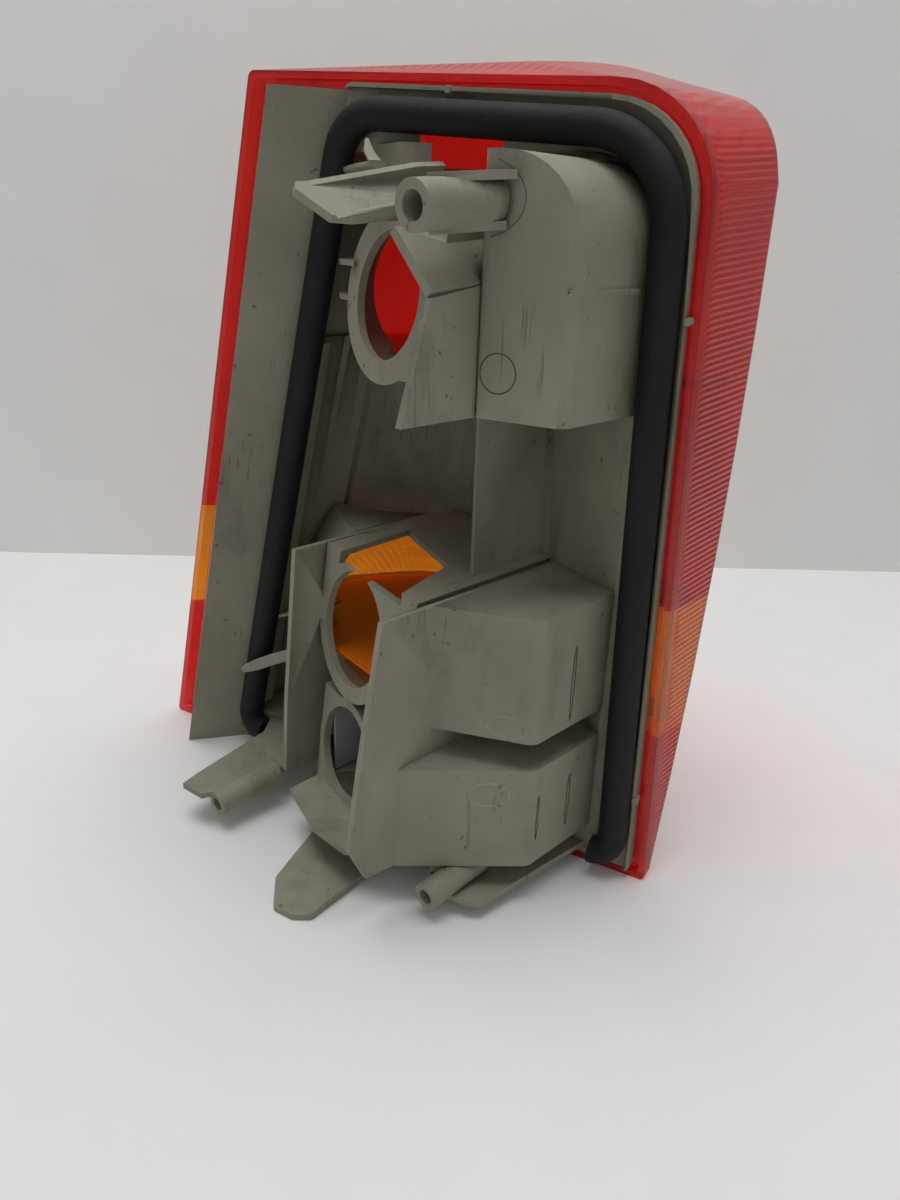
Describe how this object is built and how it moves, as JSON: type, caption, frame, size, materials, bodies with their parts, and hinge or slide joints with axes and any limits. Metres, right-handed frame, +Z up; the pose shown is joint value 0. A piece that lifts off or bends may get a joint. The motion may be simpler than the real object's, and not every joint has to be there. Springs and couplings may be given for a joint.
{
  "type": "rear lamp cluster",
  "caption": "Tall rear lamp for a car's corner: a red, amber and clear lens welded to a moulded housing with chambers, bulb openings, screw bosses and a rubber seal.",
  "frame": {"origin": "centre of the mouth of the upper screw boss", "axes": "+X towards the middle of the car, +Y out of the car through the lens, +Z up; Y of the flange's back face is +70.5 mm"},
  "size_m": [0.2573, 0.1839, 0.2963],
  "materials": {
    "housing": "dull moulded grey-beige plastic, dusty and scratched",
    "lens_red": "glossy translucent red lens plastic with fine flutes",
    "lens_amber": "glossy translucent amber lens plastic with fine flutes",
    "lens_clear": "glossy clear lens plastic",
    "seal": "near-black matte rubber"
  },
  "bodies": {
    "root": {"housing": "housing", "lens_red_upper": "lens_red", "lens_amber": "lens_amber", "lens_red_lower": "lens_red", "lens_clear": "lens_clear", "seal": "seal"}
  },
  "joints": []
}
